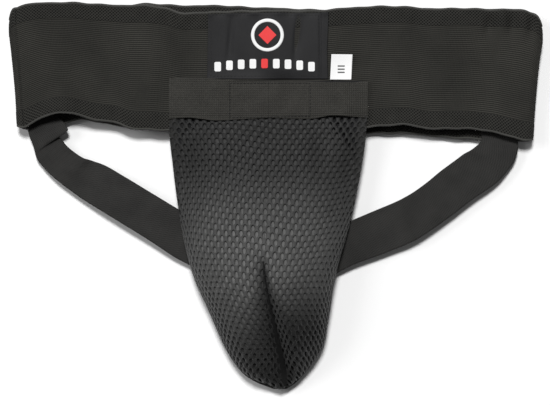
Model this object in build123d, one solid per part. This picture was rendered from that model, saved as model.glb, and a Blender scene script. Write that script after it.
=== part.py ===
"""Groin protector laid flat on a table, front side up, in millimetres.

X runs across the waistband, Y from the pouch's tip to the waistband, and Z up from the table.
The origin is at the middle of the bounding box, on the table.

The waistband is an elastic loop pressed flat. The pouch is a pocket sewn to its front layer: a back
panel below, and a mesh front with a hem tape above, with a hard cup between them. The front swings
about the pouch's tip to open the mouth, and the cup slides out towards the waistband.
"""

from build123d import *
from math import atan, degrees
import os

# Waistband: one strip of wide elastic, joined to a loop.
BAND_WIDTH = 375.0  # from fold to fold, pressed flat
BAND_HEIGHT = 88.0
BAND_THICKNESS = 1.6
BAND_GAP = 8.0  # clear space between the two layers
LENGTH = 271.0  # whole object, from the pouch's tip to the waistband's upper edge
BAND_TOP = LENGTH / 2
BAND_BOTTOM = BAND_TOP - BAND_HEIGHT
BAND_FRONT = BAND_GAP + 2 * BAND_THICKNESS  # height of the front layer's outer face
JOIN_TAPE_WIDTH = 14.0
JOIN_TAPE_THICKNESS = 0.5

# Label on the waistband, and the size tag beside it.
LABEL_SIZE = (84.0, 48.0)
LABEL_CENTRE = (-5.6, 105.6)
MARKS_CENTRE = (-8.0, 104.8)
LABEL_THICKNESS = 0.5
MARK_HEIGHT = 0.3  # how far the embroidered marks stand up
RING_RADII = (11.5, 9.0)
DIAMOND_SIDE = 9.0
BARS = 9
BAR_PITCH = 8.2
BAR_SIZE = (4.6, 7.0)
STITCH_WIDTH = 0.7
STITCH_HEIGHT = 0.3
TAG_SIZE = (15.0, 19.0)
TAG_THICKNESS = 0.4
TAG_FOOT = (45.5, 81.3)  # middle of the tag's sewn edge
TAG_LIFT = 0.3  # between the tag and the waistband

# Pouch: distance from the tip, x of its middle, half width at the seam, and height of the mesh above
# the back panel. The middle wanders a little, as the soft pouch lies.
POUCH_STATIONS = (
    (0.0, 2.8, 4.0, 2.6),
    (6.0, 1.0, 15.0, 13.5),
    (18.0, -1.6, 26.8, 26.0),
    (40.0, -3.4, 38.0, 37.5),
    (78.0, -7.4, 49.6, 43.0),
    (118.0, -7.6, 58.8, 34.0),
    (154.0, -6.5, 65.1, 21.5),
    (176.0, -5.8, 67.7, 12.5),
    (190.4, -5.4, 69.0, 2.8),
)
TIP_HEIGHT = 3.2  # the back panel's underside at the tip, over the leg straps
PANEL_THICKNESS = 1.2
PANEL_KNEE = 181.0  # distance from the tip where the back panel starts to lie flat on the waistband
PANEL_PROFILE = ((-1.0, TIP_HEIGHT), (0.0, TIP_HEIGHT), (PANEL_KNEE, BAND_FRONT), (230.0, BAND_FRONT))
BINDING_WIDTH = 6.0
MESH_THICKNESS = 1.2
LINER_THICKNESS = 0.8
LAYER_GAP = 0.25
FRONT_CLEARANCE = 0.3  # between the front's seam edge and the back panel

# Hem tape across the pouch's mouth, with a hook-and-loop closure sewn behind its middle.
HEM_WIDTH = 26.0
HEM_THICKNESS = 1.4
HEM_BOTTOM = 189.8  # distance from the tip
HEM_HEIGHT = 16.5  # its underside, above the table
HEM_LENGTH = 139.0
HEM_CENTRE = -5.2
CLOSURE_SIZE = (56.0, 18.0)
LOOP_THICKNESS = 1.2
HOOK_THICKNESS = 2.6
BOX_STITCH_SIZE = (58.0, 22.0)
DART_LENGTH = 88.0
DART_FOOT = (5.5, 8.0)
DART_LEAN = 9.0  # degrees
DART_WIDTH = 1.2
DART_GAP = 0.1

# Hard cup: distance from the tip, half width of the flange, and height above the back panel.
CUP_STATIONS = (
    (22.0, 9.0, 6.5),
    (29.0, 17.0, 12.0),
    (44.0, 26.5, 20.0),
    (66.0, 35.0, 29.0),
    (92.0, 42.0, 33.0),
    (124.0, 48.0, 23.5),
    (152.0, 49.5, 14.0),
    (178.0, 45.0, 5.0),
)
CUP_X = -1.2  # of its middle, at the pouch's tip
CUP_LEAN = 1.6  # degrees
CUP_CLEARANCE = 0.6  # under the cup's rim cushion
CUP_WALL = 3.0
FLANGE_WIDTH = 5.0
FLANGE_THICKNESS = 2.0
CUSHION_THICKNESS = 2.6
CUSHION_LIP = 1.4
CUP_CORNER_RADIUS = 22.0
VENT_SIZE = (20.0, 4.5)
VENT_ROWS = ((52.0, (-8.0, 8.0)), (84.0, (-16.0, 0.0, 16.0)), (116.0, (-24.0, -8.0, 8.0, 24.0)))

# Leg straps, from their end inside the waistband to their end under the pouch's tip.
STRAP_WIDTH = 29.0
STRAP_THICKNESS = 1.4
STRAP_LEFT = ((-164.5, 64.0), (-163.0, 31.0), (-42.0, -43.6), (-4.0, -112.0))
STRAP_RIGHT = ((160.0, 64.0), (157.5, 32.0), (96.0, -14.5), (22.0, -52.0), (4.0, -112.0))
STRAP_RADIUS = 34.0
STRAP_RAMP = 14.0  # length over which a strap comes down off the waistband's edge
CROSSING_HEIGHT = 1.5  # how far the right strap is lifted where it crosses the left one
CROSSING = (-80.0, -62.0)  # y where the right strap is fully lifted, and where it starts to rise
BARTACK_SIZE = (22.0, 1.8)
BARTACK_HEIGHT = 0.4

STEPS_BETWEEN = 4  # sections from one station to the next

# Frames: FLAT lies on the table under the pouch, and POCKET lies on the sloping back panel.
SLOPE = atan((BAND_FRONT - TIP_HEIGHT) / PANEL_KNEE)
FLAT = Pos(0, -LENGTH / 2, 0)
POCKET = FLAT * Pos(0, 0, TIP_HEIGHT + PANEL_THICKNESS) * Rot(degrees(SLOPE), 0, 0)
CUP = POCKET * Pos(CUP_X, 0, 0) * Rot(0, 0, CUP_LEAN)


def across(distance):
    """The plane across the pouch at a distance from its tip, with its own Y up."""
    return Plane(origin=(0, distance, 0), x_dir=(1, 0, 0), z_dir=(0, -1, 0))


def slope_at(stations, number):
    """How fast each value of a station changes along the pouch."""
    before = stations[max(number - 1, 0)]
    after = stations[min(number + 1, len(stations) - 1)]
    return [(b - a) / (after[0] - before[0]) for a, b in zip(before, after)]


def smooth(stations):
    """The stations with more between them, on smooth curves through their values."""
    filled = [stations[0]]
    for number in range(len(stations) - 1):
        start, end = stations[number], stations[number + 1]
        start_slope, end_slope = slope_at(stations, number), slope_at(stations, number + 1)
        gap = end[0] - start[0]
        for step in range(1, STEPS_BETWEEN + 1):
            t = step / STEPS_BETWEEN
            pull_start, pull_end = t * (1 - t) ** 2 * gap, t * t * (t - 1) * gap
            weight = t * t * (3 - 2 * t)
            filled.append(tuple(
                a + weight * (b - a) + pull_start * m + pull_end * n
                for a, b, m, n in zip(start, end, start_slope, end_slope)
            ))
    return filled


def arch(distance, middle, half_width, height, foot, open_below):
    """A closed half ellipse across the pouch, standing on the height called foot or a little lower."""
    curve = EllipticalCenterArc((middle, foot), half_width, height, start_angle=0, arc_size=180)
    low = [(middle - half_width, foot - open_below), (middle + half_width, foot - open_below)]
    edges = [curve, Line(*low)]
    if open_below:
        edges += [Line(curve @ 1, low[0]), Line(low[1], curve @ 0)]
    return across(distance) * make_face(edges)


def dome(stations, inset, foot, open_below=0.0, open_end=True):
    """The solid under the arches of all stations, made smaller by inset, and deeper by open_below."""
    sections = []
    stations = smooth(stations)
    for number, (distance, middle, half_width, height) in enumerate(stations):
        if number == 0:
            distance += inset
        if number == len(stations) - 1 and inset > 0:
            distance += 1.0 if open_end else -inset
        rise = max(height - inset, 0.4)
        width = max(half_width - inset, 2.0)
        sections.append(arch(distance, middle, width, rise, foot, open_below))
    return loft(sections, ruled=True)


def plan(stations, end=None):
    """The flat outline through the stations' half widths, carried straight on to end."""
    right = [(middle + half_width, distance) for distance, middle, half_width, _ in stations]
    left = [(middle - half_width, distance) for distance, middle, half_width, _ in stations]
    if end is not None:
        right.append((right[-1][0], end))
        left.append((left[-1][0], end))
    ends = [Line(left[0], right[0]), Line(left[-1], right[-1])]
    return make_face([Spline(*right), Spline(*left)] + ends)


def slab(face, bottom, top):
    """A flat face raised to a plate between two heights."""
    return Pos(0, 0, bottom) * extrude(face, top - bottom, dir=(0, 0, 1))


def bent_plate(face, profile, thickness, half_span):
    """A plate of even thickness with the plan of face, which follows a profile of (y, height) points."""
    upper = [(y, z + thickness) for y, z in reversed(profile)]
    strip = Plane.YZ * make_face(Polyline(*profile, *upper, close=True))
    strip = Pos(-half_span, 0, 0) * extrude(strip, 2 * half_span)
    column = slab(face, -5, 60)
    return column & strip


def frame_line(size, centre, width):
    """A flat rectangular ring, as one line of stitching round a patch."""
    outer = Pos(*centre) * Rectangle(size[0] + width, size[1] + width)
    inner = Pos(*centre) * Rectangle(size[0] - width, size[1] - width)
    return outer - inner


def waistband():
    outer = SlotOverall(BAND_WIDTH, BAND_FRONT)
    inner = SlotOverall(BAND_WIDTH - 2 * BAND_THICKNESS, BAND_GAP)
    ring = Plane((0, BAND_BOTTOM, BAND_FRONT / 2), x_dir=(1, 0, 0), z_dir=(0, -1, 0)) * (outer - inner)
    return extrude(ring, -BAND_HEIGHT)


def band_join_tape():
    face = Pos(0, (BAND_TOP + BAND_BOTTOM) / 2) * Rectangle(JOIN_TAPE_WIDTH, BAND_HEIGHT - 4)
    return slab(face, BAND_THICKNESS, BAND_THICKNESS + JOIN_TAPE_THICKNESS)


def front_label():
    face = Pos(*LABEL_CENTRE) * RectangleRounded(*LABEL_SIZE, 1.0)
    return slab(face, BAND_FRONT, BAND_FRONT + LABEL_THICKNESS)


def label_stitching():
    line = frame_line((LABEL_SIZE[0] - 4, LABEL_SIZE[1] - 4), LABEL_CENTRE, STITCH_WIDTH)
    top = BAND_FRONT + LABEL_THICKNESS
    return slab(line, top, top + STITCH_HEIGHT)


def label_marks():
    """A plain ring round a diamond, over a row of equal bars: the white parts and the red parts."""
    x, y = MARKS_CENTRE
    ring = Pos(x + 2, y + 7.5) * (Circle(RING_RADII[0]) - Circle(RING_RADII[1]))
    diamond = Pos(x + 2, y + 7.5) * Rot(0, 0, 45) * Rectangle(DIAMOND_SIDE, DIAMOND_SIDE)
    white, red = ring, diamond
    for number in range(BARS):
        place = x + (number - BARS // 2) * BAR_PITCH
        bar = Pos(place, y - 13) * RectangleRounded(*BAR_SIZE, 1.0)
        if number == BARS // 2:
            red += bar
        else:
            white += bar
    top = BAND_FRONT + LABEL_THICKNESS
    return slab(white, top, top + MARK_HEIGHT), slab(red, top, top + MARK_HEIGHT)


def size_tag():
    face = Pos(*TAG_FOOT) * Pos(0, TAG_SIZE[1] / 2) * Rectangle(*TAG_SIZE)
    height = BAND_FRONT + TAG_LIFT
    return slab(face, height, height + TAG_THICKNESS)


def panel_face(inset):
    """The pouch's plan up to its upper end, made smaller by inset at the two sides and the tip."""
    wide = [station for station in POUCH_STATIONS if station[2] > 2 * inset]
    return plan([(d, middle, w - inset, 0.0) for d, middle, w, _ in wide], HEM_BOTTOM + HEM_WIDTH)


def back_panel():
    return FLAT * bent_plate(panel_face(BINDING_WIDTH), PANEL_PROFILE, PANEL_THICKNESS, 90)


def side_bindings():
    """The tapes that close the pouch's two side seams, level with the back panel."""
    ring = panel_face(0) - panel_face(BINDING_WIDTH)
    middle = POUCH_STATIONS[0][1]
    half = Pos(middle - 100, 100) * Rectangle(200, 400)
    sides = (ring & half, ring - half)
    return [FLAT * bent_plate(side, PANEL_PROFILE, PANEL_THICKNESS, 90) for side in sides]


def pouch_mesh():
    outer = dome(POUCH_STATIONS, 0, FRONT_CLEARANCE)
    inner = dome(POUCH_STATIONS, MESH_THICKNESS, FRONT_CLEARANCE, open_below=2.0)
    return POCKET * (outer - inner)


def pouch_liner():
    outside = MESH_THICKNESS + LAYER_GAP
    outer = dome(POUCH_STATIONS, outside, FRONT_CLEARANCE)
    inner = dome(POUCH_STATIONS, outside + LINER_THICKNESS, FRONT_CLEARANCE, open_below=2.0)
    reach = POUCH_STATIONS[-1][0]
    inside_mesh = Box(300, 2 * reach, 300)
    return POCKET * ((outer - inner) & inside_mesh)


def dart_seam():
    """The seam tape of the dart that shapes the lower half of the mesh, laid on its surface."""
    inner = dome(POUCH_STATIONS, -DART_GAP, FRONT_CLEARANCE, open_below=3.0)
    shell = dome(POUCH_STATIONS, -DART_GAP - STITCH_HEIGHT, FRONT_CLEARANCE) - inner
    strip = Pos(*DART_FOOT, 40) * Rot(0, 0, DART_LEAN) * Pos(0, DART_LENGTH / 2)
    return POCKET * (shell & strip * Box(DART_WIDTH, DART_LENGTH, 60))


def hem_tape():
    face = Pos(HEM_CENTRE, HEM_BOTTOM + HEM_WIDTH / 2) * Rectangle(HEM_LENGTH, HEM_WIDTH)
    return FLAT * slab(face, HEM_HEIGHT, HEM_HEIGHT + HEM_THICKNESS)


def hem_box_stitch():
    line = frame_line(BOX_STITCH_SIZE, (HEM_CENTRE, HEM_BOTTOM + HEM_WIDTH / 2), STITCH_WIDTH)
    top = HEM_HEIGHT + HEM_THICKNESS
    return FLAT * slab(line, top, top + STITCH_HEIGHT)


def closure_strips():
    """The hook strip behind the hem tape, and the loop strip that it grips on the back panel."""
    centre = HEM_BOTTOM + 5 + CLOSURE_SIZE[1] / 2
    face = Pos(HEM_CENTRE, centre) * RectangleRounded(*CLOSURE_SIZE, 1.5)
    hook = FLAT * slab(face, HEM_HEIGHT - HOOK_THICKNESS, HEM_HEIGHT)
    low = BAND_FRONT + PANEL_THICKNESS
    loop = FLAT * slab(face, low, low + LOOP_THICKNESS)
    return hook, loop


def centred(stations):
    """Stations of a symmetric shape, with the middle filled in."""
    return [(distance, 0.0, half_width, height) for distance, half_width, height in stations]


def cup_plan(inset):
    """The cup flange's outline made smaller by inset, with its two upper corners rounded."""
    stations = [(distance, 0.0, half_width - inset, 0.0) for distance, half_width, _ in CUP_STATIONS]
    first, last = stations[0], stations[-1]
    stations[0] = (first[0] + inset, *first[1:])
    stations[-1] = (last[0] - inset, *last[1:])
    face = plan(stations)
    corners = face.vertices().sort_by(Axis.Y)[-2:]
    return fillet(corners, CUP_CORNER_RADIUS - inset)


def cup_shell():
    seat = CUP_CLEARANCE + CUSHION_THICKNESS
    inward = FLANGE_WIDTH - 1.0
    walls = centred((d, w - inward, h - CUSHION_THICKNESS) for d, w, h in CUP_STATIONS)
    outer = dome(walls, 0, seat)
    inner = dome(walls, CUP_WALL, seat, open_below=2.0, open_end=False)
    flange = slab(cup_plan(0), seat, seat + FLANGE_THICKNESS)
    rounded = slab(cup_plan(0), -5, 80)
    opening = slab(cup_plan(FLANGE_WIDTH), seat - 1, seat + FLANGE_THICKNESS)
    shell = ((outer - inner) & rounded) + (flange - opening - inner)
    for distance, places in VENT_ROWS:
        for place in places:
            slot = Pos(place, distance) * SlotOverall(*VENT_SIZE, rotation=90)
            shell -= slab(slot, seat + 6, 80)
    return CUP * shell


def cup_rim_cushion():
    low, seat = CUP_CLEARANCE, CUP_CLEARANCE + CUSHION_THICKNESS
    pad = slab(cup_plan(-CUSHION_LIP), low, seat + FLANGE_THICKNESS)
    pad -= slab(cup_plan(0), seat, seat + FLANGE_THICKNESS + 1)
    pad -= slab(cup_plan(FLANGE_WIDTH + 1.5), low - 1, seat + 1)
    return CUP * pad


def leg_strap(route, crossing_height):
    """A flat strap along its route: it lies on the waistband's back layer, then on the table."""
    path = FilletPolyline(*route, radius=STRAP_RADIUS)
    face = make_face(offset(path, STRAP_WIDTH / 2, kind=Kind.INTERSECTION, side=Side.BOTH))
    ramp_end = BAND_BOTTOM - 1.0
    profile = (
        (-200, crossing_height),
        (CROSSING[0], crossing_height),
        (CROSSING[1], 0),
        (ramp_end - STRAP_RAMP, 0),
        (ramp_end, BAND_THICKNESS),
        (120, BAND_THICKNESS),
    )
    return bent_plate(face, profile, STRAP_THICKNESS, 200)


def band_bartacks():
    """Two bars of dense stitching over each strap's end inside the waistband."""
    low = BAND_THICKNESS + STRAP_THICKNESS
    bars = []
    for route in (STRAP_LEFT, STRAP_RIGHT):
        x, y = route[0]
        for step in (-6.0, 4.0):
            face = Pos(x, y - step) * Rectangle(*BARTACK_SIZE)
            bars.append(slab(face, low, low + BARTACK_HEIGHT))
    return Compound(bars)


def tip_bartacks():
    """The bars that sew the straps' lower ends to the underside of the pouch's tip."""
    bars = []
    for distance in (20.0, 28.0):
        near = distance - BARTACK_SIZE[1]
        top = TIP_HEIGHT + near * (BAND_FRONT - TIP_HEIGHT) / PANEL_KNEE
        face = Pos(POUCH_STATIONS[0][1], distance) * Rectangle(*BARTACK_SIZE)
        bars.append(FLAT * slab(face, CROSSING_HEIGHT + STRAP_THICKNESS, top))
    return Compound(bars)


def build():
    """Every sub-part by its node name."""
    marks_white, marks_red = label_marks()
    binding_left, binding_right = side_bindings()
    hook, loop = closure_strips()
    return {
        "waistband_elastic": waistband(),
        "band_join_tape": band_join_tape(),
        "front_label": front_label(),
        "label_stitching": label_stitching(),
        "label_marks_white": marks_white,
        "label_marks_red": marks_red,
        "size_tag": size_tag(),
        "pouch_back_panel": back_panel(),
        "side_binding_left": binding_left,
        "side_binding_right": binding_right,
        "pouch_mesh_front": pouch_mesh(),
        "pouch_front_liner": pouch_liner(),
        "dart_seam": dart_seam(),
        "hem_tape": hem_tape(),
        "hem_box_stitch": hem_box_stitch(),
        "closure_hook_strip": hook,
        "closure_loop_strip": loop,
        "cup_shell": cup_shell(),
        "cup_rim_cushion": cup_rim_cushion(),
        "leg_strap_left": leg_strap(STRAP_LEFT, 0),
        "leg_strap_right": leg_strap(STRAP_RIGHT, CROSSING_HEIGHT),
        "band_bartacks": band_bartacks(),
        "tip_bartacks": tip_bartacks(),
    }


os.makedirs("parts", exist_ok=True)
for name, shape in build().items():
    export_step(shape, f"parts/{name}.step")
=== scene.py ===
"""The looks of the groin protector, lying flat with its front up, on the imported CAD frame.

Lengths below are in millimetres in the CAD's frame: X across the waistband, Y from the pouch's tip to the
waistband, Z up from the table. They are turned into metres when a mesh is made.
"""

import bmesh
import bpy
import numpy as np
from mathutils.bvhtree import BVHTree
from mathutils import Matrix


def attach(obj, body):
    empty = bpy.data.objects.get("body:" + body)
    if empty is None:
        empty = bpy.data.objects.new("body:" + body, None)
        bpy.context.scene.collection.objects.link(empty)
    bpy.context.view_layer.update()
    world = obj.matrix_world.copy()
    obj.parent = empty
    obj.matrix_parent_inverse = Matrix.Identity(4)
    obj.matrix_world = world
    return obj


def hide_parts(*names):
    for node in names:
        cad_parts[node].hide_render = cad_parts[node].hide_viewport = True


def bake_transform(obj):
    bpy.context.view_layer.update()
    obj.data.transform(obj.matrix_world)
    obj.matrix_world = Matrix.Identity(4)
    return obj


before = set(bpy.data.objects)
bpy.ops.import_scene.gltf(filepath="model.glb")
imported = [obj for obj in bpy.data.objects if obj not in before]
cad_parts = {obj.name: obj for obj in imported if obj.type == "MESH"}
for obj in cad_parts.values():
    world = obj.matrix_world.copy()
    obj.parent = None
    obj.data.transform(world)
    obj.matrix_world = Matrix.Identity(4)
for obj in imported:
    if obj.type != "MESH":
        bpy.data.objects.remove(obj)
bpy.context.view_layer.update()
MM = 0.001
TAU = 2 * np.pi
RIB = 1.45  # pitch of the ribs along the elastic
DIAMOND = 2.3  # pitch of the waistband's edge weave, along a thread
STITCH = 2.4  # pitch of the straight seams


# ---- smooth lines and simple meshes


def smooth(*points):
    """A smooth function of x through (x, value) points."""
    xs, ys = np.array(points, float).T
    slopes = np.gradient(ys, xs)

    def value(x):
        x = np.clip(x, xs[0], xs[-1])
        i = np.clip(np.searchsorted(xs, x) - 1, 0, len(xs) - 2)
        gap = xs[i + 1] - xs[i]
        t = (x - xs[i]) / gap
        rest = 1 - t
        near = ys[i] * (1 + 2 * t) * rest**2 + slopes[i] * gap * t * rest**2
        far = ys[i + 1] * t * t * (3 - 2 * t) - slopes[i + 1] * gap * t * t * rest
        return near + far

    return value


def spots(x, y, z):
    """The points with those coordinates, any of which may be one number for them all."""
    return np.stack(np.broadcast_arrays(x, y, z), axis=-1)


def unit(vectors):
    return vectors / np.maximum(np.linalg.norm(vectors, axis=-1, keepdims=True), 1e-9)


def lengths(line):
    """How far along a line each of its points is."""
    steps = np.linalg.norm(np.diff(line, axis=0), axis=1)
    return np.concatenate(([0], np.cumsum(steps)))


def walk(line, where):
    """The places at those distances along a line."""
    along = lengths(line)
    return np.stack([np.interp(where, along, c) for c in line.T], axis=1)


def path(points, count):
    """count points, evenly spaced, on a smooth path through points."""
    points = np.array(points, float)
    along = lengths(points)
    where = np.linspace(0, along[-1], 40 * len(points))
    fine = np.stack([smooth(*zip(along, c))(where) for c in points.T], axis=1)
    return walk(fine, np.linspace(0, lengths(fine)[-1], count))


def ease(t):
    t = np.clip(t, 0, 1)
    return t * t * (3 - 2 * t)


def bump(x, centre, width):
    """A soft hill of height 1 at centre."""
    return np.exp(-(((x - centre) / width) ** 2))


def put(name, data):
    """A new object in the scene."""
    thing = bpy.data.objects.new(name, data)
    bpy.context.scene.collection.objects.link(thing)
    return thing


def make(name, points, faces, weave=None, flat=False):
    """A mesh object from points in mm. weave gives each point its place in the cloth, in mm."""
    mesh = bpy.data.meshes.new(name)
    mesh.from_pydata((np.asarray(points, float).reshape(-1, 3) * MM).tolist(), [], faces)
    if weave is not None:
        layer = mesh.attributes.new("weave", "FLOAT_VECTOR", "POINT")
        layer.data.foreach_set("vector", np.asarray(weave, np.float32).ravel())
    mesh.polygons.foreach_set("use_smooth", [not flat] * len(mesh.polygons))
    mesh.update()
    return put(name, mesh)


def quads(rows, cols, start=0, around=False, flip=False):
    """The faces of a grid of rows x cols points, joined round its columns if around."""
    r = np.arange(rows - 1)[:, None]
    c = np.arange(cols if around else cols - 1)[None, :]
    n = (c + 1) % cols
    faces = np.stack([r * cols + c, r * cols + n, (r + 1) * cols + n, (r + 1) * cols + c], axis=-1)
    faces = faces.reshape(-1, 4) + start
    return (faces[:, ::-1] if flip else faces).tolist()


def normals(grid, around=False):
    """Unit normals of a grid of points."""
    if around:
        wide = np.concatenate([grid[:, -1:], grid, grid[:, :1]], axis=1)
        across = (wide[:, 2:] - wide[:, :-2]) / 2
    else:
        across = np.gradient(grid, axis=1)
    return unit(np.cross(across, np.gradient(grid, axis=0)))


def cloth(name, grid, weave, thickness, around=False, relief=0.0):
    """A closed cloth of even thickness: grid is its outer side, raised by relief."""
    rows, cols = grid.shape[:2]
    n = normals(grid, around)
    outer = grid + n * np.reshape(relief, (rows, cols, 1) if np.ndim(relief) else (1, 1, 1))
    inner = grid - n * thickness
    count = rows * cols
    faces = quads(rows, cols, around=around) + quads(rows, cols, count, around, flip=True)
    index = np.arange(count).reshape(rows, cols)
    edges = [(index[0], True), (index[-1], False)]
    if not around:
        edges += [(index[:, 0], False), (index[:, -1], True)]
    for edge, flip in edges:
        run = list(edge) + ([edge[0]] if around else [])
        for a, b in zip(run[:-1], run[1:]):
            face = [a, b, b + count, a + count]
            faces.append([int(i) for i in (face[::-1] if flip else face)])
    both = np.concatenate([outer.reshape(-1, 3), inner.reshape(-1, 3)])
    return make(name, both, faces, np.concatenate([weave.reshape(-1, 3)] * 2))


def tube(name, line, radius, sides=8, squash=1.0, closed=False):
    """A round bead along a line, or a flat one where squash is under 1."""
    line = np.asarray(line, float)
    if closed:
        ahead = np.roll(line, -1, axis=0) - np.roll(line, 1, axis=0)
    else:
        ahead = np.gradient(line, axis=0)
    ahead = unit(ahead)
    side = unit(np.cross(ahead, (0, 0, 1.0)))
    up = np.cross(side, ahead)
    turn = np.arange(sides) * TAU / sides
    radius = np.broadcast_to(radius, len(line))[:, None, None]
    ring = np.cos(turn)[:, None] * side[:, None] + squash * np.sin(turn)[:, None] * up[:, None]
    grid = line[:, None] + radius * ring
    if closed:
        grid = np.concatenate([grid, grid[:1]])
    rows = len(grid)
    weave = spots(lengths(grid[:, 0])[:, None], turn * 2, 0.0)
    faces = quads(rows, sides, around=True)
    if not closed:
        faces += [list(range(sides))[::-1], [(rows - 1) * sides + i for i in range(sides)]]
    piece = make(name, grid, faces, weave)
    if closed:
        merge(piece)
    return piece


def merge(piece, distance=1e-6):
    """Joins points that lie on each other, and removes those that no face uses."""
    work = bmesh.new()
    work.from_mesh(piece.data)
    bmesh.ops.remove_doubles(work, verts=work.verts, dist=distance)
    loose = [v for v in work.verts if not v.link_faces]
    bmesh.ops.delete(work, geom=loose, context="VERTS")
    work.to_mesh(piece.data)
    work.free()


def seam(name, line, radius, dip=0.45):
    """A row of stitches: a thread that shows over most of each stitch and dips into the cloth between."""
    where = np.arange(0, lengths(line)[-1], STITCH / 8)
    points = walk(line, where)
    phase = np.mod(where / STITCH, 1.0) / 0.75
    arch = np.where(phase < 1, np.sin(np.pi * np.clip(phase, 0, 1)) ** 0.5, 0.0)
    points[:, 2] += (dip + 0.1) * arch - dip
    return tube(name, points, radius * (0.45 + 0.55 * arch), sides=6)


def plate(name, outline, face, lift, thickness):
    """A small flat patch with that outline, lying on a surface whose height is face(x, y)."""
    outline = np.asarray(outline, float)
    x, y = outline.T
    count = len(outline)
    top = spots(x, y, face(x, y) + lift + thickness)
    bottom = top - (0, 0, thickness)
    faces = [list(range(count)), [count + i for i in range(count)][::-1]]
    faces += [[i, i + count, (i + 1) % count + count, (i + 1) % count] for i in range(count)]
    both = np.concatenate([top, bottom])
    return make(name, both, faces, both, flat=True)


def rounded_box(x, y, width, height, radius, steps=4):
    """The outline of a rounded rectangle, turning left."""
    points = []
    for number, (sx, sy) in enumerate(((1, -1), (1, 1), (-1, 1), (-1, -1))):
        for step in range(steps + 1):
            angle = np.pi / 2 * (number - 1 + step / steps)
            cx, cy = x + sx * (width / 2 - radius), y + sy * (height / 2 - radius)
            points.append((cx + radius * np.cos(angle), cy + radius * np.sin(angle)))
    return np.array(points)


def join(name, pieces):
    """Several mesh pieces as one."""
    bpy.ops.object.select_all(action="DESELECT")
    for piece in pieces:
        piece.select_set(True)
    bpy.context.view_layer.objects.active = pieces[0]
    bpy.ops.object.join()
    pieces[0].name = name
    return pieces[0]


def dress(piece, material, body, slot, *nodes):
    """Gives a piece its material, its CAD body and the CAD nodes it stands for, which it hides; slot is
    not used.
    """
    piece.data.materials.append(material)
    if body is not None:
        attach(piece, body)
    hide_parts(*nodes)
    return piece


# ---- materials


class Surface:
    """A material whose nodes are added one by one, ending in one shader."""

    def __init__(self, name):
        self.material = bpy.data.materials.new(name)
        self.material.use_nodes = True
        self.tree = self.material.node_tree
        self.shader = self.tree.nodes["Principled BSDF"]

    def node(self, kind, values=(), **settings):
        node = self.tree.nodes.new(kind)
        for key, value in settings.items():
            setattr(node, key, value)
        for socket, value in dict(values).items():
            self.set(node.inputs[socket], value)
        return node

    def set(self, socket, value):
        if isinstance(value, bpy.types.NodeSocket):
            self.tree.links.new(value, socket)
        else:
            socket.default_value = value

    def math(self, operation, a, b=0.0, c=0.0):
        return self.node("ShaderNodeMath", {0: a, 1: b, 2: c}, operation=operation).outputs[0]

    def times(self, a, b, plus=None):
        """a times b, plus a third where it is given."""
        if plus is None:
            return self.math("MULTIPLY", a, b)
        return self.math("MULTIPLY_ADD", a, b, plus)

    def place(self):
        """The place in the cloth, in mm: all of it, its two parts, and how tightly the cloth is drawn
        there, which on the pouch also carries painted shade and painted light.
        """
        place = self.node("ShaderNodeAttribute", attribute_name="weave").outputs["Vector"]
        parts = self.node("ShaderNodeSeparateXYZ", {0: place}).outputs
        return place, parts[0], parts[1], parts[2]

    def ripple(self, value, pitch):
        """A wave from 0 to 1 along value."""
        return self.times(self.math("COSINE", self.times(value, TAU / pitch)), 0.5, 0.5)

    def noise(self, vector, scale, detail=2.0):
        values = {"Scale": scale, "Detail": detail}
        if vector is not None:
            values["Vector"] = vector
        return self.node("ShaderNodeTexNoise", values).outputs["Fac"]

    def blend(self, share, *colours):
        """A colour between two, by share."""
        low, high = ((*c, 1.0) if isinstance(c, tuple) else c for c in colours)
        return self.node("ShaderNodeMix", {0: share, 6: low, 7: high}, data_type="RGBA").outputs[2]

    def finish(self, colour, roughness, specular, height=None, depth=0.0, sheen=0.0):
        inputs = self.shader.inputs
        self.set(inputs["Base Color"], colour)
        if height is not None:
            values = {"Height": height, "Distance": depth * MM, "Strength": 1.0}
            self.set(inputs["Normal"], self.node("ShaderNodeBump", values).outputs[0])
        inputs["Roughness"].default_value = roughness
        inputs["Specular IOR Level"].default_value = specular
        inputs["Sheen Weight"].default_value = sheen
        return self.material


def grey(value):
    return (value, value, value)


def ribbed_elastic():
    """The waistband's elastic, ribbed along it, with grey threads that wear through in patches."""
    s = Surface("ribbed_elastic")
    place, along, across, _ = s.place()
    thread = s.ripple(across, RIB)
    cross = s.ripple(along, 1.05)
    fuzz = s.noise(place, 1.6)
    patches = s.times(s.noise(place, 0.025, 1.0), 1.6, s.times(s.noise(place, 0.09, 3.0), 0.7, -0.72))
    share = s.times(s.math("POWER", thread, 1.6), s.times(cross, 0.35, 0.6))
    share = s.times(share, s.times(patches, 0.9, 0.35))
    share = s.times(fuzz, 0.25, share)
    height = s.times(cross, 0.4, s.math("ADD", thread, s.times(fuzz, 0.6)))
    colour = s.blend(share, (0.009, 0.009, 0.008), (0.05, 0.048, 0.041))
    return s.finish(colour, 0.85, 0.25, height, 0.25)


def diamond_weave():
    """The close weave along the waistband's edges, whose threads cross in diamonds."""
    s = Surface("diamond_weave")
    place, along, across, _ = s.place()
    rising = s.ripple(s.math("ADD", along, across), DIAMOND)
    falling = s.ripple(s.math("SUBTRACT", along, across), DIAMOND)
    lattice = s.math("MAXIMUM", rising, falling)
    share = s.times(s.noise(place, 0.12, 3.0), 0.4, -0.1)
    share = s.math("ADD", share, s.times(s.math("POWER", lattice, 2.5), 0.75))
    height = s.times(s.noise(place, 1.4), 0.3, lattice)
    return s.finish(s.blend(share, grey(0.002), (0.038, 0.0372, 0.033)), 0.85, 0.2, height, 0.6)


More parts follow.
